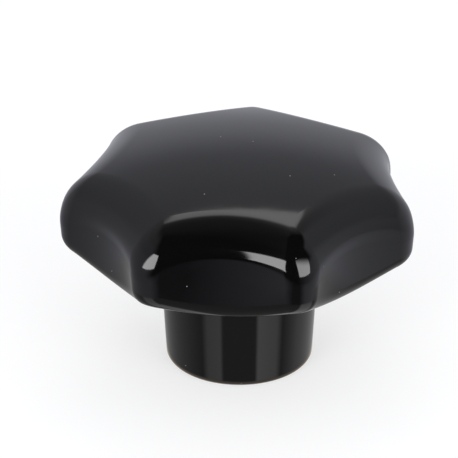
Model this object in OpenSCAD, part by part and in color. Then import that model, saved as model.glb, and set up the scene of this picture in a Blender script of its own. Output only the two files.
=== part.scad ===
// Star knob: a one-piece moulded hand knob with a threaded brass bush in its hub.
// The origin is the centre of the hub's end face, +Z runs up the axis to the domed top,
// and one finger flute faces -Y.  Lengths are millimetres, angles are degrees.

/* [Head] */
// Diameter over the lobe tips
head_d = 63; // [58:0.5:68]
// Number of lobes
lobe_count = 7; // [6:1:8]
// How far each finger flute bites in from the lobe-tip circle
flute_depth = 4.7; // [3.8:0.1:5.6]
// Plan radius of each lobe tip
lobe_r = 4.3; // [4.1:0.1:6.8]
// Height from the flutes' lower edge to the crown of the dome
head_h = 19.1; // [17:0.1:22]
// Radius of the domed top
dome_r = 90; // [65:1:120]
// Radius of the rolled shoulder between the flute walls and the dome
shoulder_r = 8.5; // [7:0.1:10]
// Radius along the head's lower edge
skirt_r = 3.6; // [1:0.1:3.8]
// Inward lean of the side walls towards their lower edge
wall_draft = 2; // [0:0.5:4]
// Rise of the underside from the hub out to the lobe tips
underside_angle = 26; // [15:1:30]

/* [Hub] */
// Length from the hub's end face to the flutes' lower edge
hub_len = 21.4; // [18:0.1:25]
// Hub diameter where it runs into the head
hub_top_d = 28.2; // [26:0.2:31]
// Hub diameter at its end face
hub_end_d = 26; // [24:0.2:28]
// Radius round the hub's end face
hub_edge_r = 1.4; // [0.4:0.1:2]

/* [Threaded bush] */
// Outside diameter of the bush
bush_d = 17; // [15.5:0.5:19]
// Length of the bush
bush_len = 26; // [24:0.5:28]
// Diameter of the neck that the moulding locks into
neck_d = 14.6; // [14:0.2:15.2]
// Length of the neck
neck_len = 5; // [3:0.5:7]
// Clearance between the bush and the moulding around it
bush_gap = 0; // [0:0.01:0.1]
// Core diameter of the tapped hole
core_d = 10.2; // [8.5:0.1:10.8]
// Depth of the tapped hole
core_depth = 22; // [16:0.5:22.5]
// Included angle of the drilled bottom of the hole
drill_angle = 118; // [90:1:140]
// Diameter of the countersink at the hole's mouth
mouth_d = 12.8; // [12:0.1:13.5]

/* [Hidden] */

// Columns across one flute and round one lobe, rows over the shoulder, dome and lower edge
flute_steps = 14;
lobe_steps = 7;
shoulder_steps = 10;
dome_steps = 6;
skirt_steps = 4;
// Facets of the turned shapes
turn_facets = 120;
// Halvings that find where a flute meets the middle plane of a lobe, and the widest
// sideways angle they look at
search_steps = 26;
widest_angle = 80;
// Below this angle a fan of directions is taken as straight
flat_angle = 0.01;
// How far the head and the hub run into each other
root_lap = 1;

total_h = hub_len + head_h;
tip_r = head_d / 2;
pitch = 360 / lobe_count;
half_pitch = pitch / 2;
valley_r = tip_r - flute_depth;
lobe_centre = tip_r - lobe_r;
// Radius of the flute arc that runs tangent into the two lobe tips beside it
flute_r = (lobe_centre * lobe_centre + valley_r * valley_r
    - 2 * lobe_centre * valley_r * cos(half_pitch) - lobe_r * lobe_r)
    / (2 * (lobe_r - valley_r + lobe_centre * cos(half_pitch)));
flute_centre = valley_r + flute_r;
dome_centre = [0, 0, total_h - dome_r];
// Ring that closes the head inside the hub, and the hub's top inside the head
inner_r = hub_end_d / 2 - root_lap;
hub_root_z = hub_len + root_lap;
hub_root_r = hub_end_d / 2 + (hub_top_d - hub_end_d) / 2 * hub_root_z / hub_len;
// Hole, the height of its drilled cone, and the place of the bush's neck
core_r = core_d / 2;
drill_tip = core_r / tan(drill_angle / 2);
mouth_r = mouth_d / 2;
neck_z = (bush_len - neck_len) / 2;
flange_len = bush_len - neck_len - neck_z;

columns = flute_steps + lobe_steps;
ring_n = lobe_count * columns;
dome_n = lobe_count * flute_steps;

// Direction part way, by fraction t, along the great circle from u to v
function unit(v) = v / norm(v);

function between(u, v, t) =
    let (a = acos(min(1, u * v)))
    a < flat_angle ? unit(u * (1 - t) + v * t)
    : (u * sin((1 - t) * a) + v * sin(t * a)) / sin(a);

function turned(v, a) =
    [v[0] * cos(a) - v[1] * sin(a), v[0] * sin(a) + v[1] * cos(a), v[2]];

function plan(v) = [v[0], v[1], 0];

// The shoulder is the surface a ball of shoulder_r leaves as it rolls along a flute
// wall and under the dome.  Sideways angle b is measured at the flute's own centre.
function wall_normal(b) =
    [cos(wall_draft) * cos(b), -cos(wall_draft) * sin(b), -sin(wall_draft)];

function ball_plan(b) =
    [flute_centre - (flute_r + shoulder_r) * cos(b), (flute_r + shoulder_r) * sin(b)];

function ball_rise(p) =
    dome_centre[2] + sqrt((dome_r - shoulder_r) * (dome_r - shoulder_r) - p * p);

function ball(b) =
    [ball_plan(b)[0], ball_plan(b)[1], ball_rise(norm(ball_plan(b)))];

function shoulder_normal(b, t) =
    between(wall_normal(b), unit(ball(b) - dome_centre), t);

// The lobes are rounded by rolling a second ball of lobe_r over a sharp-edged core
function core_point(b, t) =
    ball(b) + (shoulder_r - lobe_r) * shoulder_normal(b, t);

function past_lobe(q) =
    q[1] * cos(half_pitch) - q[0] * sin(half_pitch);

// Sideways angle at which that core, at shoulder fraction t, meets the lobe's middle
function reach(t, near = 0, far = widest_angle, n = search_steps) =
    let (b = (near + far) / 2)
    n == 0 ? b
    : past_lobe(core_point(b, t)) > 0 ? reach(t, near, b, n - 1)
    : reach(t, b, far, n - 1);

// One flute and the lobe after it: each entry is a point and its outward normal
function flute_part(t, r) = [
    for (i = [0 : flute_steps])
        let (b = r * (2 * i / flute_steps - 1), n = shoulder_normal(b, t))
        [ball(b) + shoulder_r * n, n]
];

function lobe_part(t, r) =
    let (
        n1 = shoulder_normal(r, t),
        n2 = turned(shoulder_normal(-r, t), pitch),
        c = core_point(r, t)
    )
    [for (j = [1 : lobe_steps - 1])
        let (n = between(n1, n2, j / lobe_steps))
        [c + lobe_r * n, n]];

function sector(t) =
    let (r = reach(t))
    concat(flute_part(t, r), lobe_part(t, r));

function all_round(part) = [
    for (k = [0 : lobe_count - 1], e = part)
        let (a = k * pitch - 90)
        [turned(e[0], a), turned(e[1], a)]
];

// Foot of the wall, lower edge and underside below one column of the wall's top
function underside_z(p) =
    hub_len + (p - valley_r) * tan(underside_angle);

function foot(e) =
    let (drop = e[0][2] - underside_z(norm(plan(e[0]))))
    plan(e[0]) - unit(plan(e[1])) * drop * tan(wall_draft);

function edge_point(e, f) =
    let (
        n = unit(plan(e[1])),
        p = foot(e),
        s = tan(underside_angle) * (n * unit(p)),
        rise = skirt_r * (sqrt(1 + s * s) - s),
        a = f * (90 - atan(s)),
        q = p - n * skirt_r * (1 - cos(a))
    )
    [q[0], q[1], underside_z(norm(p)) + rise - skirt_r * sin(a)];

function inner_point(e) =
    let (q = unit(plan(edge_point(e, 1))) * inner_r)
    [q[0], q[1], underside_z(inner_r)];

// Dome: rings of the rim drawn in towards the crown, and the place on the rim that a
// column of the shoulder runs into, where all of a lobe's columns share one point
function dome_rim(r) = flute_part(1, r);

function dome_point(p, s) =
    [p[0] * s, p[1] * s,
        dome_centre[2] + sqrt(dome_r * dome_r - s * s * (p[0] * p[0] + p[1] * p[1]))];

function dome_column(c) =
    let (k = floor(c / columns), i = c - k * columns)
    (k * flute_steps + min(i, flute_steps)) % dome_n;

module head() {
    wall_top = all_round(sector(0));
    below = concat(
        [for (e = wall_top) inner_point(e)],
        [for (k = [0 : skirt_steps], e = wall_top) edge_point(e, 1 - k / skirt_steps)],
        [for (k = [0 : shoulder_steps - 1], e = all_round(sector(k / shoulder_steps))) e[0]]
    );
    rows = skirt_steps + shoulder_steps + 2;
    last = (rows - 1) * ring_n;
    rim_part = dome_rim(reach(1));
    rim = [for (e = all_round([for (i = [0 : flute_steps - 1]) rim_part[i]])) e[0]];
    dome = [for (k = [0 : dome_steps - 1], p = rim) dome_point(p, 1 - k / dome_steps)];
    start = len(below);
    crown = start + len(dome);
    side_faces = [
        for (k = [0 : rows - 2], c = [0 : ring_n - 1])
            let (d = (c + 1) % ring_n)
            [k * ring_n + c, (k + 1) * ring_n + c, (k + 1) * ring_n + d, k * ring_n + d]
    ];
    rim_faces = [
        for (c = [0 : ring_n - 1])
            let (d = (c + 1) % ring_n, u = start + dome_column(c), v = start + dome_column(d))
            u == v ? [last + c, u, last + d] : [last + c, u, v, last + d]
    ];
    dome_faces = [
        for (k = [0 : dome_steps - 2], c = [0 : dome_n - 1])
            let (d = (c + 1) % dome_n)
            [start + k * dome_n + c, start + (k + 1) * dome_n + c,
                start + (k + 1) * dome_n + d, start + k * dome_n + d]
    ];
    crown_faces = [
        for (c = [0 : dome_n - 1])
            [crown - dome_n + c, crown, crown - dome_n + (c + 1) % dome_n]
    ];
    polyhedron(
        points = concat(below, dome, [[0, 0, total_h]]),
        faces = concat([[for (c = [0 : ring_n - 1]) c]],
            side_faces, rim_faces, dome_faces, crown_faces)
    );
}

module hub() {
    rotate_extrude($fn = turn_facets)
    union() {
        difference() {
            polygon([[0, 0], [hub_end_d / 2, 0], [hub_root_r, hub_root_z], [0, hub_root_z]]);
            translate([hub_end_d / 2 - hub_edge_r, 0])
            square([hub_top_d, hub_edge_r]);
        }
        translate([hub_end_d / 2 - hub_edge_r, hub_edge_r])
        circle(hub_edge_r, $fn = turn_facets);
    }
}

// Half section of the bush, grown by g all round
module bush_section(g) {
    union() {
        square([neck_d / 2 + g, bush_len + g]);
        square([bush_d / 2 + g, neck_z + g]);
        translate([0, neck_z + neck_len - g])
        square([bush_d / 2 + g, flange_len + 2 * g]);
    }
}

module knob_body() {
    color("#1b1b1d")
    difference() {
        union() {
            head();
            hub();
        }
        rotate_extrude($fn = turn_facets)
        bush_section(bush_gap);
    }
}

module threaded_bush() {
    color("#c9a24e")
    rotate_extrude($fn = turn_facets)
    difference() {
        bush_section(0);
        polygon([
            [0, 0],
            [mouth_r, 0],
            [core_r, mouth_r - core_r],
            [core_r, core_depth],
            [0, core_depth + drill_tip]
        ]);
    }
}

knob_body();
threaded_bush();
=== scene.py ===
# %% [markdown]
# # Dressing a black star knob
#
# The object is a hand knob: a lobed head that fingers turn, and a round hub that bears
# on the clamped part.  It is one compression moulding in black phenolic resin, polished
# to a high gloss, with a turned brass bush moulded into the hub.  A black polished piece
# shows hardly any colour of its own.  What the eye reads is the shape of the reflections,
# so this lesson spends its effort on a smooth surface and on a studio worth reflecting.

from math import atan, cos, pi, radians, sin, sqrt, tan

import bpy
import numpy as np
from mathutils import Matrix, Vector


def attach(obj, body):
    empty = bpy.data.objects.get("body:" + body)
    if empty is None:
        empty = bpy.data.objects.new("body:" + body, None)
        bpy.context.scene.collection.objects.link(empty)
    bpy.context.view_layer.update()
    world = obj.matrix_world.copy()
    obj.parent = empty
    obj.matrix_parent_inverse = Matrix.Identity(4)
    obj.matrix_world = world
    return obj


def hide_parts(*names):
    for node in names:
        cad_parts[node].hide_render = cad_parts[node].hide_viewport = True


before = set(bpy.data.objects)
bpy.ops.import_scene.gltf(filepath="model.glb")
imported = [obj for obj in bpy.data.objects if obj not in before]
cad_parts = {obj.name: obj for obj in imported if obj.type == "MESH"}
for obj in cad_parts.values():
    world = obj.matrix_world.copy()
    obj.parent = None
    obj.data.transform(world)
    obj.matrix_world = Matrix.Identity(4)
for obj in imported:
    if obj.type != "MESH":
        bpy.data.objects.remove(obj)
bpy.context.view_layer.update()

# %% [markdown]
# ## Sizes
#
# The knob was designed in millimetres, with its origin in the middle of the hub's end
# face and its crown straight above.  The visible surface follows the same few driving
# sizes as the solid model, at a much finer grain, so the two agree to a hair.

# %% Driving sizes, in millimetres and degrees
MM = 0.001

head_d = 63.0
lobe_count = 7
flute_depth = 4.7
lobe_r = 4.3
# Over these shares of the shoulder the lobes grow fuller, and the flutes rise and sink back
full_lobe_r, lobe_swell = 6.3, (0.02, 0.40)
valley_rise, rise_in, rise_out = 0.8, (0.02, 0.36), (0.42, 0.85)
head_h = 19.1
dome_r = 90.0
shoulder_r = 8.5
skirt_r = 3.6
wall_draft = radians(2)
underside_angle = radians(26)

hub_len = 21.4
hub_top_d = 28.2
hub_end_d = 26.0
hub_edge_r = 1.4
hub_fillet_r = 0.8

bush_d = 17.0
bush_len = 26.0
neck_d = 14.6
neck_len = 5.0
core_depth = 22.0
core_d = 10.2
drill_angle = radians(118)
mouth_d = 12.8

# %% Sizes that follow from them
tip_r = head_d / 2
pitch = 2 * pi / lobe_count
valley_r = tip_r - flute_depth


def flute_arc(lobe, valley):
    """Radius of the flute arc that runs tangent into tip arcs of radius lobe.

    It is the circle on the flute's middle line that passes valley from the axis and
    touches both tip arcs, whose centres lie tip_r - lobe from the axis."""
    centre = tip_r - lobe
    across = centre * cos(pitch / 2)
    return (centre**2 + valley**2 - 2 * across * valley - lobe**2) / (
        2 * (lobe - valley + across)
    )


flute_r = flute_arc(lobe_r, valley_r)
total_h = hub_len + head_h
dome_centre = np.array([0.0, 0.0, total_h - dome_r])
print(f"{lobe_count} flutes of radius {flute_r:.2f} mm, overall height {total_h:.1f} mm")

# %% [markdown]
# ## From rows of points to a mesh
#
# Both pieces are closed skins that run once round the axis.  A skin is kept as a grid:
# each row is one ring of points, each column one line from the inside, round the bottom
# and up to the top.  Rows may shrink to a single point, and columns may run together.
# Points that fall on each other are merged and the faces that lose a side become
# triangles, all of it with whole arrays.


# %% Grid of points to closed mesh
def skin(name, rows, sharp_angle=radians(34)):
    """Closes a grid of rows (row, column, xyz in millimetres) into a mesh piece.

    The columns run anticlockwise seen from above and the rows run so that the outer
    wall is climbed upwards, which makes every face point out of the solid.
    """
    n_rows, n_columns, _ = rows.shape
    merge_grid = 1e-4
    keys = np.round(rows.reshape(-1, 3) / merge_grid).astype(np.int64)
    _, first, shared = np.unique(keys, axis=0, return_index=True, return_inverse=True)
    index = shared.reshape(n_rows, n_columns)
    after = np.roll(index, -1, axis=1)
    quads = np.stack([index[:-1], after[:-1], after[1:], index[1:]], axis=-1).reshape(-1, 4)
    lost = quads == np.roll(quads, -1, axis=1)
    sides = 4 - lost.sum(axis=1)
    kept = sides > 2
    corners = quads[kept][~lost[kept]]
    starts = np.concatenate([[0], np.cumsum(sides[kept])[:-1]])

    mesh = bpy.data.meshes.new(name)
    mesh.vertices.add(len(first))
    mesh.vertices.foreach_set("co", (rows.reshape(-1, 3)[first] * MM).ravel())
    mesh.loops.add(len(corners))
    mesh.loops.foreach_set("vertex_index", corners)
    mesh.polygons.add(len(starts))
    mesh.polygons.foreach_set("loop_start", starts)
    mesh.update(calc_edges=True)
    mesh.validate()
    mesh.shade_smooth()
    mesh.set_sharp_from_angle(angle=sharp_angle)
    piece = bpy.data.objects.new(name, mesh)
    bpy.context.scene.collection.objects.link(piece)
    print(f"{name}: {len(first)} points, {int((sides[kept] - 2).sum())} triangles")
    return piece


def eased(n):
    """Shares from 0 to 1 in n steps that crowd towards both ends: (1 - cos(pi k/n)) / 2.

    Rows that crowd where two curves meet keep the shading true right up to the join.
    """
    return (1 - np.cos(pi * np.arange(n + 1) / n)) / 2


# %% [markdown]
# ## The lobed head
#
# A toolmaker cuts such a head with round cutters.  Seen from above, its outline is seven
# shallow flute arcs joined by seven small tip arcs.  Between the flute walls and the
# domed top runs a rolled shoulder: the surface that a ball leaves behind when it rolls
# along the wall while it touches the dome from below.  The lobes are rounded by a second,
# smaller ball.  Writing it as balls and directions gives each point and its direction in
# one formula, with no modifier that would blur the lines where the curves meet.


# %% Directions and balls
def unit(v):
    return v / np.linalg.norm(v, axis=-1, keepdims=True)


def between(u, v, share):
    """Direction a share of the way along the great circle from u to v:
    (sin((1 - share) a) u + sin(share a) v) / sin(a), where a is the angle between them."""
    angle = np.arccos(np.clip((u * v).sum(-1, keepdims=True), -1, 1))
    tiny = angle < 1e-6
    whole = np.where(tiny, 1, np.sin(angle))
    mixed = (np.sin((1 - share) * angle) * u + np.sin(share * angle) * v) / whole
    return np.where(tiny, u, mixed)


def turned(points, angle):
    """The points turned about +Z: (x cos - y sin, x sin + y cos, z)."""
    x, y, z = np.moveaxis(points, -1, 0)
    return np.stack([x * cos(angle) - y * sin(angle), x * sin(angle) + y * cos(angle), z], -1)


def easing(t, start, end):
    """Share 0 before start, 1 after end and eased between them: 3 s^2 - 2 s^3."""
    s = np.clip((t - start) / (end - start), 0, 1)
    return s * s * (3 - 2 * s)


def lobe_at(t):
    """Tip radius at share t of the shoulder: the lobes get fuller as it turns over."""
    return lobe_r + (full_lobe_r - lobe_r) * easing(t, *lobe_swell)


def valley_at(t):
    """Distance of the flute's middle from the axis: as the shoulder leaves the wall the
    flutes get shallower, and towards the dome they get their depth back."""
    return valley_r + valley_rise * easing(t, *rise_in) * (1 - easing(t, *rise_out))


def ball(b, t):
    """Centre of the shoulder ball, b being the sideways angle at the flute's own centre.

    In plan it keeps the flute's radius + shoulder_r from that centre, and in height it
    keeps dome_r - shoulder_r from the dome's centre."""
    arc_r = flute_arc(lobe_at(t), valley_at(t))
    x = valley_at(t) + arc_r - (arc_r + shoulder_r) * np.cos(b)
    y = (arc_r + shoulder_r) * np.sin(b)
    z = dome_centre[2] + np.sqrt((dome_r - shoulder_r) ** 2 - x**2 - y**2)
    return np.stack([x, y, z], -1)


def shoulder_normal(b, t):
    """Outward direction at share t of the way from the drafted wall to the dome."""
    level = np.cos(wall_draft)
    wall = np.stack([level * np.cos(b), -level * np.sin(b), np.full_like(b, -sin(wall_draft))], -1)
    return between(wall, unit(ball(b, t) - dome_centre), (t + 0 * b)[..., None])


def core_point(b, t):
    """Point of the sharp-edged core that the lobe ball rolls over."""
    return ball(b, t) + (shoulder_r - lobe_at(t))[..., None] * shoulder_normal(b, t)


def reach(t, halvings=40):
    """Sideways angle at which the core meets the lobe's middle plane, found by halving."""
    widest = radians(80)
    near, far = np.zeros_like(t), np.full_like(t, widest)
    for _ in range(halvings):
        middle = (near + far) / 2
        x, y, _ = np.moveaxis(core_point(middle, t), -1, 0)
        past = y * cos(pitch / 2) - x * sin(pitch / 2) > 0
        far = np.where(past, middle, far)
        near = np.where(past, near, middle)
    return (near + far) / 2


# %% One ring round the shoulder
flute_steps = 44
lobe_steps = 20


def shoulder_rows(t):
    """Rings of points, and their outward directions, at shoulder shares t.

    Flute: ball centre + shoulder_r times the normal, for b from -reach to +reach.
    Lobe: core point + the lobe's radius times the directions between its two walls.
    One flute and one lobe are worked out and turned into place lobe_count times."""
    t = np.asarray(t, float)[:, None]
    r = reach(t)
    b = r * (2 * eased(flute_steps) - 1)
    n = shoulder_normal(b, t)
    flute = ball(b, t) + shoulder_r * n
    n1 = shoulder_normal(r, t)
    n2 = turned(shoulder_normal(-r, t), pitch)
    fan = between(n1, n2, eased(lobe_steps)[1:-1, None])
    lobe = core_point(r, t) + lobe_at(t)[..., None] * fan
    points = np.concatenate([flute, lobe], axis=1)
    normals = np.concatenate([n, fan], axis=1)
    spin = [k * pitch - pi / 2 for k in range(lobe_count)]
    return (
        np.concatenate([turned(points, a) for a in spin], axis=1),
        np.concatenate([turned(normals, a) for a in spin], axis=1),
    )


wall_top, wall_out = (ring[0] for ring in shoulder_rows([0.0]))
radii = np.hypot(wall_top[:, 0], wall_top[:, 1])
print(f"wall top: radius {radii.min():.2f} to {radii.max():.2f} mm, height {wall_top[0, 2]:.2f} mm")

# %% [markdown]
# ## Lower edge and underside
#
# Below the shoulder the wall drops almost straight, leaning inwards a little so that the
# moulding leaves its tool.  It ends in a rounded lower edge, and from there a plain cone
# runs in and down to the hub.  Fingers pull against this edge, so it is well rounded.


# %% Lower edge under each column
def underside_z(p):
    """Height of the underside cone at distance p from the axis."""
    return hub_len + (p - valley_r) * tan(underside_angle)


def edge_rows(angles):
    """Rings round the lower edge: an arc of skirt_r that starts on the wall and ends on
    the underside.  angles are shares from the underside (0) to the wall (1)."""
    out = unit(wall_out * [1, 1, 0])
    drop = wall_top[:, 2] - underside_z(radii)
    foot = wall_top * [1, 1, 0] - out * (drop * tan(wall_draft))[:, None]
    slope = tan(underside_angle) * (out * unit(foot)).sum(-1)
    rise = skirt_r * (np.sqrt(1 + slope**2) - slope)
    lowest = pi / 2 - np.arctan(slope)
    a = lowest + np.asarray(angles)[:, None] * (wall_draft - lowest)
    rows = foot - out * (skirt_r * (1 - np.cos(a)))[..., None]
    rows[..., 2] = underside_z(np.linalg.norm(foot, axis=-1)) + rise - skirt_r * np.sin(a)
    return rows


edge_steps = 16
lower_edge = edge_rows(eased(edge_steps))
polar = np.arctan2(lower_edge[0, :, 1], lower_edge[0, :, 0])
print(f"lowest point of the head's edge: {lower_edge[..., 2].min():.2f} mm up")

# %% [markdown]
# ## Hub and bush seat
#
# The hub is a turned form: a profile of radius and height carried round the axis.  It
# starts inside, where the moulding grips the bush, comes out over the flat end face,
# rounds the end's edge, climbs the slightly tapered wall and runs through a small fillet
# into the underside cone.


# %% Turned profiles
def arc(centre, radius, start, end, steps):
    """Profile points (radius, height) on a circular arc between two directions."""
    a = start + (end - start) * eased(steps)
    return np.stack([centre[0] + radius * np.cos(a), centre[1] + radius * np.sin(a)], -1)


def lathe(profile, angles):
    """Rings from a profile of (p, z): point = (p cos angle, p sin angle, z)."""
    p, z = np.asarray(profile, float).T[..., None]
    return np.stack([p * np.cos(angles), p * np.sin(angles), z + 0 * angles], -1)


hub_taper = (hub_top_d - hub_end_d) / 2 / hub_len
taper_angle = atan(hub_taper)
end_r = hub_end_d / 2
end_arc_p = end_r + hub_taper * hub_edge_r - hub_edge_r * sqrt(1 + hub_taper**2)
cone_rise = tan(underside_angle)
# The fillet's centre keeps hub_fillet_r from the tapered wall and from the cone
wall_shift = end_r + hub_fillet_r * sqrt(1 + hub_taper**2)
cone_shift = hub_len - valley_r * cone_rise - hub_fillet_r * sqrt(1 + cone_rise**2)
fillet_p = (wall_shift + hub_taper * cone_shift) / (1 - hub_taper * cone_rise)
fillet_z = cone_shift + cone_rise * fillet_p

neck_z = (bush_len - neck_len) / 2
seat = [
    (0, bush_len),
    (bush_d / 2, bush_len),
    (bush_d / 2, neck_z + neck_len),
    (neck_d / 2, neck_z + neck_len),
    (neck_d / 2, neck_z),
    (bush_d / 2, neck_z),
    (bush_d / 2, 0),
]
face_steps, end_steps, fillet_steps = 6, 12, 8
face_width = end_arc_p - bush_d / 2
end_face = [(bush_d / 2 + share * face_width, 0) for share in eased(face_steps)[1:-1]]
fillet_span = pi - taper_angle, pi / 2 + underside_angle
hub_profile = np.concatenate(
    [
        seat,
        end_face,
        arc((end_arc_p, hub_edge_r), hub_edge_r, -pi / 2, -taper_angle, end_steps),
        arc((fillet_p, fillet_z), hub_fillet_r, *fillet_span, fillet_steps),
    ]
)
wall_end_r = hub_profile[-fillet_steps - 1, 0]
print(f"hub wall from {end_r:.1f} mm to {wall_end_r:.2f} mm radius, fillet at {fillet_z:.2f} mm")


# %% The whole moulding as one skin
def joined(first, last, steps):
    """Straight rows between two rings, the rings themselves left out."""
    share = eased(steps)[1:-1, None, None]
    return first * (1 - share) + last * share


shoulder_steps, dome_steps, underside_steps, wall_steps = 30, 32, 10, 8
shoulder, _ = shoulder_rows(eased(shoulder_steps))
rim = shoulder[-1]
# The dome is drawn in from its rim to the crown, in rows that crowd at the rim
crowding = 1.6
inward = 1 - (np.arange(1, dome_steps + 1) / dome_steps) ** crowding
dome = rim * inward[:, None, None]
dome[..., 2] = dome_centre[2] + np.sqrt(dome_r**2 - dome[..., 0] ** 2 - dome[..., 1] ** 2)

turned_rows = lathe(hub_profile, polar)
rows = np.concatenate(
    [
        turned_rows,
        joined(turned_rows[-1], lower_edge[0], underside_steps),
        lower_edge,
        joined(lower_edge[-1], shoulder[0], wall_steps),
        shoulder,
        dome,
    ]
)
moulding = skin("knob_moulding", rows)
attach(moulding, "root")
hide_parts("knob_body")

# %% [markdown]
# ## The threaded bush
#
# The bush is turned from brass bar and tapped M12 with a pitch of 1.75 mm.  An internal
# thread is a groove that climbs the bore, so its depth depends on only one number: how
# many pitches the point has climbed, less how far round it is.  The groove has the 60
# degree flanks of an ISO thread, a flat crest a quarter of the pitch wide, and it runs
# out before the drilled bottom.

# %% Bore with its helical groove
thread_pitch = 1.75
crest_share = 0.25
thread_depth = 0.9
thread_run_out = 3.0
run_out_z = core_depth - thread_run_out
steps_per_pitch, steps_round = 14, 120
core_r = core_d / 2
mouth_r = mouth_d / 2
bush_angles = np.linspace(0, 2 * pi, steps_round, endpoint=False)


def groove(z, angle):
    """Depth of the thread at height z and angle: a clipped triangle wave.

    Flank height = (distance from the crest's edge, in pitches) * pitch / tan(30 deg)."""
    phase = (z / thread_pitch - angle / (2 * pi)) % 1
    from_crest = 0.5 - np.abs(phase - 0.5) - crest_share / 2
    cut = np.clip(from_crest * thread_pitch / tan(radians(30)), 0, thread_depth)
    return cut * np.clip((run_out_z - z) / thread_pitch, 0, 1)


lowest_z, step_z = 0.1, thread_pitch / steps_per_pitch
bore_z = np.concatenate([[core_depth], np.arange(run_out_z, lowest_z, -step_z), [0]])
bore_p = core_r + groove(bore_z[:, None], bush_angles)
bore_p = np.maximum(bore_p, mouth_r - bore_z[:, None])
bore = np.stack(
    [bore_p * np.cos(bush_angles), bore_p * np.sin(bush_angles), bore_z[:, None] + 0 * bore_p], -1
)

# %% The bush as one skin
edge_break = 0.15
mouth_land = 0.4
drill_tip = core_r / tan(drill_angle / 2)
outside = [
    (mouth_r + mouth_land, 0),
    ((mouth_r + bush_d / 2) / 2, 0),
    (bush_d / 2 - edge_break, 0),
    (bush_d / 2, edge_break),
    (bush_d / 2, neck_z),
    (neck_d / 2, neck_z),
    (neck_d / 2, neck_z + neck_len),
    (bush_d / 2, neck_z + neck_len),
    (bush_d / 2, bush_len),
    (0, bush_len),
]
bush = skin(
    "tapped_bush",
    np.concatenate(
        [lathe([(0, core_depth + drill_tip)], bush_angles), bore, lathe(outside, bush_angles)]
    ),
)
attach(bush, "root")
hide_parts("threaded_bush")

# %% [markdown]
# ## Colours and nodes
#
# Colours are written as the sRGB hex values that a colour picker shows.  The renderer
# works with linear light, so one function turns one into the other.  One more function
# adds a shader node with its settings and links.


# %% Colour and node helpers
def linear(hex_colour):
    """sRGB hex to linear RGBA: c/12.92 below 0.04045, else ((c + 0.055)/1.055)^2.4."""
    code = np.array([int(hex_colour[i : i + 2], 16) for i in (1, 3, 5)]) / 255
    light = np.where(code <= 0.04045, code / 12.92, ((code + 0.055) / 1.055) ** 2.4)
    return (*light.tolist(), 1.0)


def add(tree, kind, inputs=None, **settings):
    """Adds a node: settings are its own properties, and inputs gives each socket, by name
    or number, a value or another node's output to be linked to."""
    made = tree.nodes.new(kind)
    for name, value in settings.items():
        setattr(made, name, value)
    for socket, value in (inputs or {}).items():
        if isinstance(value, bpy.types.NodeSocket):
            tree.links.new(value, made.inputs[socket])
        else:
            made.inputs[socket].default_value = value
    return made


def material(name):
    """An empty node material and its tree."""
    made = bpy.data.materials.new(name)
    made.use_nodes = True
    made.node_tree.nodes.clear()
    return made, made.node_tree


# %% [markdown]
# ## Polished phenolic
#
# Phenolic resin is a hard thermoset filled with fine wood flour, with a refractive index
# of about 1.6.  Pressed against a polished steel tool it comes out almost like glass: a
# deep neutral black below, and sharp reflections above.  What gives it away as a moulding
# is very slight waviness, a few millimetres long and a few thousandths deep, small
# differences in polish, and the odd speck of dust that black always shows.


# %% Phenolic material
METRE = 1000.0
COLOUR_A, COLOUR_B, COLOUR_OUT = 6, 7, 2


def scale(size_mm):
    """Texture scale, in cells to the metre, for a cell of size_mm."""
    return METRE / size_mm


def mixed(tree, share, a, b):
    """Colour between a and b by share."""
    return add(
        tree, "ShaderNodeMix", {0: share, COLOUR_A: a, COLOUR_B: b}, data_type="RGBA"
    ).outputs[COLOUR_OUT]


def remap(tree, value, low, high, to_low, to_high):
    """value from low..high to to_low..to_high, held at the ends and eased between."""
    limits = {"From Min": low, "From Max": high, "To Min": to_low, "To Max": to_high}
    return add(
        tree, "ShaderNodeMapRange", {"Value": value, **limits}, interpolation_type="SMOOTHSTEP"
    ).outputs["Result"]


def polished_phenolic():
    made, tree = material("polished_black_phenolic")
    place = add(tree, "ShaderNodeTexCoord").outputs["Object"]
    flow_mm, haze_mm, wave_mm, dust_mm = 14.0, 9.0, 5.0, 4.2

    flow = add(tree, "ShaderNodeTexNoise", {"Vector": place, "Scale": scale(flow_mm)})
    black = mixed(tree, flow.outputs["Fac"], linear("#060607"), linear("#090909"))

    # Dust: the few cells whose own point lies within about a tenth of a millimetre
    dust = add(tree, "ShaderNodeTexVoronoi", {"Vector": place, "Scale": scale(dust_mm)})
    speck = remap(tree, dust.outputs["Distance"], 0.015, 0.035, 0.45, 0.0)
    skin_colour = mixed(tree, speck, black, linear("#c9c6bf"))

    haze = add(
        tree, "ShaderNodeTexNoise", {"Vector": place, "Scale": scale(haze_mm), "Detail": 4.0}
    )
    polish = remap(tree, haze.outputs["Fac"], 0.3, 0.7, 0.05, 0.09)

    wave = add(
        tree, "ShaderNodeTexNoise", {"Vector": place, "Scale": scale(wave_mm), "Detail": 1.0}
    )
    bump = add(
        tree,
        "ShaderNodeBump",
        {"Height": wave.outputs["Fac"], "Distance": 0.01 * MM, "Strength": 1.0},
    )
    shader = add(
        tree,
        "ShaderNodeBsdfPrincipled",
        {
            "Base Color": skin_colour,
            "Roughness": polish,
            "IOR": 1.6,
            "Normal": bump.outputs["Normal"],
        },
    )
    add(tree, "ShaderNodeOutputMaterial", {"Surface": shader.outputs["BSDF"]})
    return made


moulding.data.materials.append(polished_phenolic())
print("phenolic on", moulding.name)

# %% [markdown]
# ## Turned brass
#
# Free-cutting brass, turned dry, keeps fine rings from the tool.  Indoors it dulls to a
# warm, slightly uneven tan.  The rings follow the distance from the axis, so the pattern
# is a wave of that distance, fine enough to glint and not to show as steps.


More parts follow.
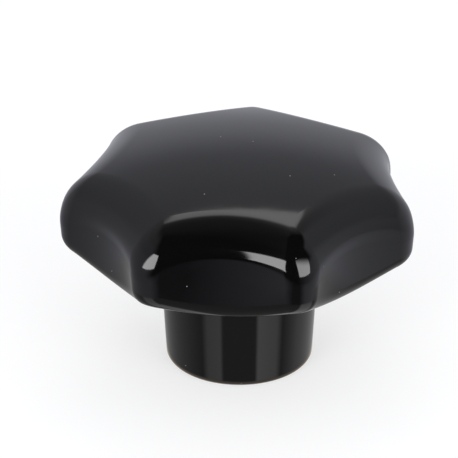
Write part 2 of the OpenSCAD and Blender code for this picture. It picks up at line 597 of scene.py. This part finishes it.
# %% Brass material
def turned_brass():
    made, tree = material("turned_tarnished_brass")
    place = add(tree, "ShaderNodeTexCoord").outputs["Object"]
    tarnish_mm, ring_mm, bands_per_cell = 3.0, 0.25, 20

    tarnish = add(
        tree, "ShaderNodeTexNoise", {"Vector": place, "Scale": scale(tarnish_mm), "Detail": 5.0}
    )
    stain = remap(tree, tarnish.outputs["Fac"], 0.4, 0.75, 0.0, 1.0)
    colour = mixed(tree, stain, linear("#dcc07a"), linear("#a9854a"))
    worn = remap(tree, tarnish.outputs["Fac"], 0.3, 0.7, 0.22, 0.42)
    rings = add(
        tree,
        "ShaderNodeTexWave",
        {"Vector": place, "Scale": scale(ring_mm) / bands_per_cell, "Distortion": 0.4},
        wave_type="RINGS",
        rings_direction="Z",
    )
    bump = add(
        tree,
        "ShaderNodeBump",
        {"Height": rings.outputs["Fac"], "Distance": 0.004 * MM, "Strength": 1.0},
    )
    shader = add(
        tree,
        "ShaderNodeBsdfPrincipled",
        {
            "Base Color": colour,
            "Metallic": 1.0,
            "Roughness": worn,
            "Normal": bump.outputs["Normal"],
        },
    )
    add(tree, "ShaderNodeOutputMaterial", {"Surface": shader.outputs["BSDF"]})
    return made


bush.data.materials.append(turned_brass())
print("brass on", bush.name)

# %% [markdown]
# ## The camera
#
# The knob stands on its hub.  The camera looks down on it at about 27 degrees through a
# long lens, from a little to the right of the front flute.  Directions in the studio are
# given the same way for camera and lamps: an azimuth round the knob, 0 towards the
# camera and growing to its right, and an elevation above the table.

# %% Camera
view_turn = radians(5.5)
view_elevation = radians(27.04)
view_distance = 0.5201
sensor_mm, lens_mm = 36.0, 231.76
# The point that the lens is levelled on, and how far the aim lies from it in the picture
level_point = Vector((0, 0, 20 * MM))
aim_right, aim_up = -1.85 * MM, 4.13 * MM


def direction(azimuth, elevation):
    """Unit vector from the knob: azimuth from the camera's side, elevation above level."""
    a = azimuth + view_turn
    return Vector((sin(a) * cos(elevation), -cos(a) * cos(elevation), sin(elevation)))


def aimed(thing, place, target):
    thing.location = place
    thing.rotation_euler = (target - place).to_track_quat("-Z", "Y").to_euler()


to_camera = direction(0, view_elevation)
picture_right = Vector((0, 0, 1)).cross(to_camera).normalized()
picture_up = to_camera.cross(picture_right)
lens = bpy.data.cameras.new("camera")
lens.lens, lens.sensor_width = lens_mm, sensor_mm
camera = bpy.data.objects.new("camera", lens)
bpy.context.scene.collection.objects.link(camera)
aimed(
    camera,
    level_point + to_camera * view_distance,
    level_point + picture_right * aim_right + picture_up * aim_up,
)
bpy.context.scene.camera = camera
print("camera at", [round(x, 3) for x in camera.location])

# %% [markdown]
# ## The studio
#
# A glossy black piece is lit by what it mirrors.  Two large soft windows stand in front,
# left and right, and a softbox hangs above and behind.  They are area lamps: a rectangle
# that glows evenly and fades near its edges, as a window with a thin curtain does.
# With the room they light a white sheet to a little under white, so that colours come
# out about as written.


# %% Soft lamps
def reckon(tree, operation, *values):
    """One step of arithmetic on sockets or numbers."""
    return add(
        tree, "ShaderNodeMath", dict(enumerate(values)), operation=operation
    ).outputs["Value"]


def remap_share(tree, value, low, high):
    """0 below low, 1 above high, eased between; low may be the larger one."""
    return remap(tree, value, min(low, high), max(low, high), *((0, 1) if low < high else (1, 0)))


def soft_lamp(name, azimuth, elevation, distance, size_deg, roll, radiance, fade, *curtains):
    """A soft rectangular lamp that covers the given angles as seen from the knob.

    A lamp's power in watts is its radiance times pi times its area.  Over the share
    fade of its width and height, counted from each edge, the glow eases down to nothing.
    A curtain (across, up, start, end) hides a slanting corner: the glow eases down while
    across * x + up * y goes from start to end, x and y being -0.5 to 0.5 over the lamp."""
    width, height = (2 * distance * tan(radians(angle) / 2) for angle in size_deg)
    lamp = bpy.data.lights.new(name, "AREA")
    lamp.shape = "RECTANGLE"
    lamp.size, lamp.size_y = width, height
    lamp.energy = radiance * pi * width * height
    lamp.use_nodes = True
    tree = lamp.node_tree
    tree.nodes.clear()
    spot = add(tree, "ShaderNodeNewGeometry").outputs["Parametric"]
    spot = add(tree, "ShaderNodeVectorMath", {0: spot, 1: (0.5, 0.5, 0)}, operation="SUBTRACT")
    x, y, _ = add(tree, "ShaderNodeSeparateXYZ", {"Vector": spot.outputs[0]}).outputs
    glow = reckon(
        tree,
        "MULTIPLY",
        remap_share(tree, reckon(tree, "ABSOLUTE", x), 0.5, 0.5 - fade),
        remap_share(tree, reckon(tree, "ABSOLUTE", y), 0.5, 0.5 - fade),
    )
    for across, up, start, end in curtains:
        reach_over = reckon(tree, "MULTIPLY_ADD", x, across, reckon(tree, "MULTIPLY", y, up))
        glow = reckon(tree, "MULTIPLY", glow, remap_share(tree, reach_over, end, start))
    shade = add(tree, "ShaderNodeEmission", {"Strength": glow})
    add(tree, "ShaderNodeOutputLight", {"Surface": shade.outputs[0]})
    holder = bpy.data.objects.new(name, lamp)
    bpy.context.scene.collection.objects.link(holder)
    way = direction(radians(azimuth), radians(elevation))
    aimed(holder, level_point + way * distance, level_point)
    holder.rotation_euler.rotate_axis("Z", radians(roll))
    holder.visible_camera = False
    print(f"{name}: {width:.2f} x {height:.2f} m, {lamp.energy:.1f} W")
    return holder


left_curtain, right_curtain = (-0.80, 0.60, 0.13, 0.26), (0.23, 0.97, 0.08, 0.48)
soft_lamp("left_window", -40.5, 13, 1.2, (46, 47), 0, 5.4, 0.05, left_curtain)
soft_lamp("right_window", 41, 12, 1.2, (43, 56), 0, 4.3, 0.05, right_curtain)
corner, inner_side = (-0.85, -0.53, 0.40, 0.45), (-0.40, 0.92, -0.05, 0.23)
soft_lamp("top_softbox", 167, 64.5, 1.0, (34, 25), 13, 1.15, 0.03, corner, inner_side)

# %% [markdown]
# ## White room, grey tent
#
# The camera sees the room and the table as plain white.  A black polished piece that
# mirrors nothing but white looks like milk though, so product photographers hang a grey
# tent round it, with a black card in front and a grey sheet underneath.  The tent here
# is a dome that glows with painted tones and that only reflections see, so reflections
# show painted light and shade and not the room.  Its tone changes round the knob and
# with height, so it is painted as rings: each ring is a ramp of greys that runs once
# round the azimuth.  In front no glow at all is painted, a painted dark zone in place
# of a black card, and it reaches further round to the right the higher it goes.  The
# painted glow is mid grey at the sides and paler behind.


# %% Rings of tone
def bearings(tree):
    """Azimuth as a share of a turn (0.5 towards the camera), elevation in degrees and
    distance from the axis in metres, all for a point of the tent or of its sheet."""
    place = add(tree, "ShaderNodeTexCoord").outputs["Object"]
    facing = add(
        tree,
        "ShaderNodeVectorRotate",
        {"Vector": place, "Angle": -view_turn},
        rotation_type="Z_AXIS",
    ).outputs["Vector"]
    x, y, z = add(tree, "ShaderNodeSeparateXYZ", {"Vector": facing}).outputs
    azimuth = reckon(tree, "ARCTAN2", x, reckon(tree, "MULTIPLY", y, -1.0))
    share = reckon(tree, "MULTIPLY_ADD", azimuth, 1 / (2 * pi), 0.5)
    level = add(tree, "ShaderNodeCombineXYZ", {"X": x, "Y": y})
    away = add(tree, "ShaderNodeVectorMath", {0: level.outputs[0]}, operation="LENGTH")
    distance = away.outputs["Value"]
    rise = reckon(tree, "DEGREES", reckon(tree, "ARCTAN2", z, distance))
    return share, rise, distance


def as_hub_mirrors(tree, share, distance):
    """Share of a turn for the direction in which the upright hub shows a sheet point.

    At bearing phi the hub of radius r mirrors direction 2 phi, and a point at bearing
    theta and distance d lies on that line when 2 phi = theta + asin(r sin(phi) / d).
    Starting from phi = theta d / (2 d - r), three rounds are close enough."""
    theta = reckon(tree, "MULTIPLY_ADD", share, 2 * pi, -pi)
    r_over_d = reckon(tree, "DIVIDE", (hub_end_d + hub_top_d) / 4 * MM, distance)
    r_over_d = reckon(tree, "MINIMUM", r_over_d, 0.99)
    phi = reckon(tree, "DIVIDE", theta, reckon(tree, "SUBTRACT", 2.0, r_over_d))
    for _ in range(3):
        turn = reckon(tree, "MULTIPLY", reckon(tree, "SINE", phi), r_over_d)
        phi = reckon(tree, "ADD", theta, reckon(tree, "ARCSINE", turn))
        phi = reckon(tree, "MULTIPLY", phi, 0.5)
    return reckon(tree, "MULTIPLY_ADD", phi, 1 / pi, 0.5)


def ring(tree, share, tint, tones):
    """Ramp once round the knob: tones maps an azimuth in degrees to a grey, times tint."""
    ramp = add(tree, "ShaderNodeValToRGB", {"Fac": share})
    stops = ramp.color_ramp.elements
    while len(stops) < len(tones):
        stops.new(0.5)
    for stop, (azimuth, tone) in zip(stops, sorted(tones.items())):
        stop.position = azimuth / 360 + 0.5
        stop.color = (*(tone * part for part in tint), 1)
    return ramp.outputs["Color"]


def only_reflections_see(thing, finish):
    """A card of the tent: it glows for reflections and is nothing to any other ray."""
    thing.data.materials.append(finish)
    finish.cycles.emission_sampling = "NONE"
    thing.visible_camera = thing.visible_diffuse = False
    thing.visible_transmission = thing.visible_shadow = False


# %% [markdown]
# ## Tent dome
#
# Three rings of painted glow cover the dome: a low wall, a higher wall and the ceiling,
# each eased into the next over a few degrees of height.  Straight overhead the painted
# glow gets darker.  The tones are plain greys at round bearings, 0 towards the camera
# and growing to its right.  The walls are painted a touch cool, as daylight is.

# %% Tent dome
tent_r = 3000.0
steps_round_tent, steps_up_tent = 96, 24
tent_angles = np.linspace(0, 2 * pi, steps_round_tent, endpoint=False)
dome_rise = np.linspace(pi / 2, 0, steps_up_tent + 1)
dome_line = tent_r * np.stack([np.cos(dome_rise), np.sin(dome_rise)], -1)
tent = skin("tent_dome", lathe(np.concatenate([dome_line, [[tent_r, 0]]]), tent_angles))
finish, tree = material("painted_reflection_tent")
share, rise, _ = bearings(tree)
plain, cool, warm = (1, 1, 1), (0.97, 0.98, 1.08), (1.0, 0.86, 0.72)
# Painted dark zone: no glow from -20 to 15 degrees in the low wall, in place of a black card; the higher
# rings are painted dark further round to the right.
painted_dark_card = {-20: 0, 15: 0}
wall_tones = {-180: 0.55, -140: 0.55, -130: 0.4, -45: 0.3, **painted_dark_card, 60: 0.3, 120: 0.6, 180: 0.55}
upper_tones = {-180: 0.4, -45: 0.25, -20: 0, 70: 0, 85: 0.35, 180: 0.4}
ceiling_tones = {-180: 0.45, -160: 0.35, -45: 0.2, -20: 0, 115: 0, 155: 0.45}
low_wall = ring(tree, share, cool, wall_tones)
high_wall = ring(tree, share, cool, upper_tones)
ceiling = ring(tree, share, plain, ceiling_tones)
wall_seam, ceiling_seam, overhead, overhead_glow = (16, 32), (46, 56), (62, 82), 0.25
tone = mixed(tree, remap_share(tree, rise, *wall_seam), low_wall, high_wall)
tone = mixed(tree, remap_share(tree, rise, *ceiling_seam), tone, ceiling)
dimmed = remap(tree, rise, *overhead, 1.0, overhead_glow)
painted_glow = add(tree, "ShaderNodeEmission", {"Color": tone, "Strength": dimmed})
add(tree, "ShaderNodeOutputMaterial", {"Surface": painted_glow.outputs[0]})
only_reflections_see(tent, finish)

# %% [markdown]
# ## Grey sheet
#
# The flute walls and the hub lean so that they mirror what lies under and round the
# knob.  The sheet glows with painted tones that only reflections see, in three rings: a
# warm painted pool of light right at the hub's foot, two pale strips between black and
# grey that are painted reflections of the windows and that the upright hub mirrors as
# stripes, and further out painted shade that is darkest in front.  Far away it blends
# into the wall.

# %% Grey sheet under the knob
sheet_z, inner_ring_r = 0.2, 100.0
sheet_line = [(tent_r, sheet_z), (inner_ring_r, sheet_z), (0, sheet_z)]
sheet = skin("tent_sheet", lathe(sheet_line, tent_angles))
finish, tree = material("painted_reflection_sheet")
share, _, distance = bearings(tree)
# Painted shade: the far sheet glows darkest in front, from 0 to 20 degrees.
far_tones = {-180: 0.5, -150: 0.5, -110: 0.35, -25: 0.3, 0: 0.05, 20: 0.05, 35: 0.35, 95: 0.55, 150: 0.5}
# Painted reflections of the two windows: pale strips that the upright hub mirrors as stripes.
painted_left_window_reflection = {-60: 0.15, -50: 0.5, -30: 0.6, -25: 0.15}
painted_right_window_reflection = {25: 0.15, 30: 0.8, 60: 0.6, 70: 0.15}
sides = {-180: 0.9, -165: 0.4, -90: 0.25, 100: 0.4, 165: 0.5, 180: 0.9}
near_tones = {**sides, **painted_left_window_reflection, **painted_right_window_reflection}
# Painted pool of light: a warm glow at the hub's foot, brightest behind.
painted_light_pool_tones = {-180: 1.8, -90: 0.9, -40: 0.55, 40: 0.55, 90: 0.9, 180: 1.8}
far_sheet = ring(tree, share, cool, far_tones)
mirrored = as_hub_mirrors(tree, share, distance)
near_sheet = ring(tree, mirrored, plain, near_tones)
painted_light_pool = ring(tree, share, warm, painted_light_pool_tones)
horizon = ring(tree, share, cool, wall_tones)
foot_edge, near_edge, far_edge = (13.4 * MM, 14.4 * MM), (50 * MM, 62 * MM), (85 * MM, 160 * MM)
tone = mixed(tree, remap_share(tree, distance, *foot_edge), painted_light_pool, near_sheet)
tone = mixed(tree, remap_share(tree, distance, *near_edge), tone, far_sheet)
tone = mixed(tree, remap_share(tree, distance, *far_edge), tone, horizon)
painted_glow = add(tree, "ShaderNodeEmission", {"Color": tone, "Strength": 1.0})
add(tree, "ShaderNodeOutputMaterial", {"Surface": painted_glow.outputs[0]})
only_reflections_see(sheet, finish)


# %% [markdown]
# ## White room and table
#
# The room is white to the camera and to any ray off a mirror or through glass, though
# the tent stands before it for a ray off a mirror.  For plain light the room is a soft,
# faintly cool grey.  The table takes the light as grey paper does and keeps the knob's
# soft shadow, and a glow that lights nothing lifts it close to white.


# %% White room
def seen_directly(tree):
    """1 for a ray from the camera, off a mirror or through glass, 0 for diffuse light."""
    path = add(tree, "ShaderNodeLightPath").outputs
    seen = reckon(tree, "MAXIMUM", path["Is Camera Ray"], path["Is Glossy Ray"])
    return reckon(tree, "MAXIMUM", seen, path["Is Transmission Ray"])


world = bpy.data.worlds.new("studio_room")
bpy.context.scene.world = world
world.use_nodes = True
room = world.node_tree
room.nodes.clear()
soft_fill, white = (0.76, 0.77, 0.80, 1), (1, 1, 1, 1)
room_light = mixed(room, seen_directly(room), soft_fill, white)
backdrop = add(room, "ShaderNodeBackground", {"Color": room_light, "Strength": 1.0})
add(room, "ShaderNodeOutputWorld", {"Surface": backdrop.outputs[0]})

# %% Table
table_line = [(tent_r, 0), (inner_ring_r, 0), (0, 0)]
table = skin("table", lathe(table_line, tent_angles))
paper_tone, paper_glow = 0.42, 0.60
finish, tree = material("white_table_paper")
paper = add(tree, "ShaderNodeBsdfDiffuse", {"Color": (paper_tone,) * 3 + (1,)})
strength = reckon(tree, "MULTIPLY", seen_directly(tree), paper_glow)
glow = add(tree, "ShaderNodeEmission", {"Color": white, "Strength": strength})
both = add(tree, "ShaderNodeAddShader", {0: paper.outputs[0], 1: glow.outputs[0]})
add(tree, "ShaderNodeOutputMaterial", {"Surface": both.outputs[0]})
finish.cycles.emission_sampling = "NONE"
table.data.materials.append(finish)

# %% [markdown]
# ## Hand over
#
# Last, the plain view transform.

# %% Hand over
bpy.context.scene.view_settings.view_transform = "Standard"
